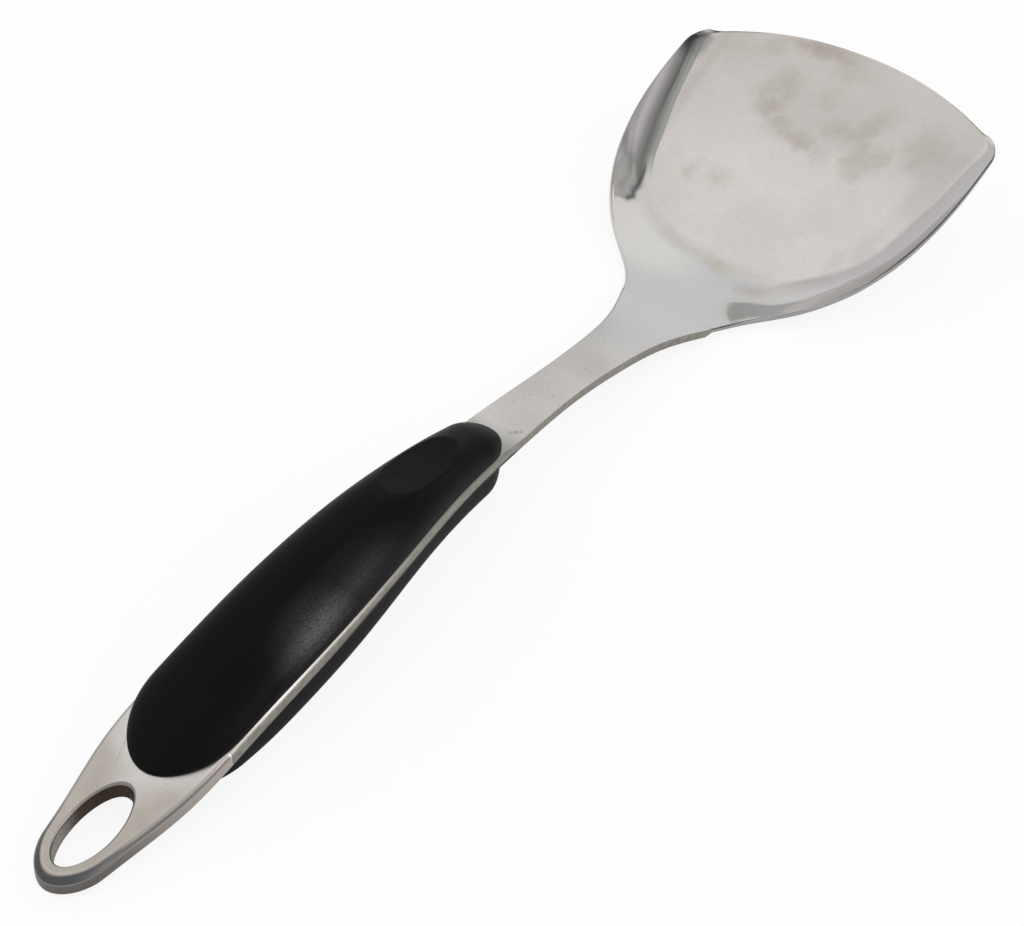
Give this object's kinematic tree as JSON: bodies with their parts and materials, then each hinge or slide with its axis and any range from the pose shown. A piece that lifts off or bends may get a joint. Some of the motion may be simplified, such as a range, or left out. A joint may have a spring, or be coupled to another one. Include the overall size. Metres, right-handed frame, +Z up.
{
  "type": "wok spatula",
  "caption": "Wok spatula with a fan-shaped steel blade, a slim steel neck, black plastic grips on a steel band, and a hanging loop at the tail.",
  "frame": {"origin": "centre of the bounding box in plan, at its lowest level, which is the table that the spatula lies on", "axes": "+X along the spatula towards the front edge of the blade, +Z up from the table, Y across the blade; the spatula is symmetric about Y = 0"},
  "size_m": [0.36, 0.108, 0.0371],
  "materials": {
    "steel": "satin stainless steel, brushed, brighter on the edges",
    "grip_plastic": "fine-grained matte black plastic"
  },
  "bodies": {
    "root": {"blade": "steel", "blade_weld": "steel", "neck_bar": "steel", "loop_weld": "steel", "hang_loop": "steel", "grip_pin_rear": "steel", "grip_pin_middle": "steel", "grip_pin_front": "steel", "upper_grip": "grip_plastic", "lower_grip": "grip_plastic"}
  },
  "joints": []
}
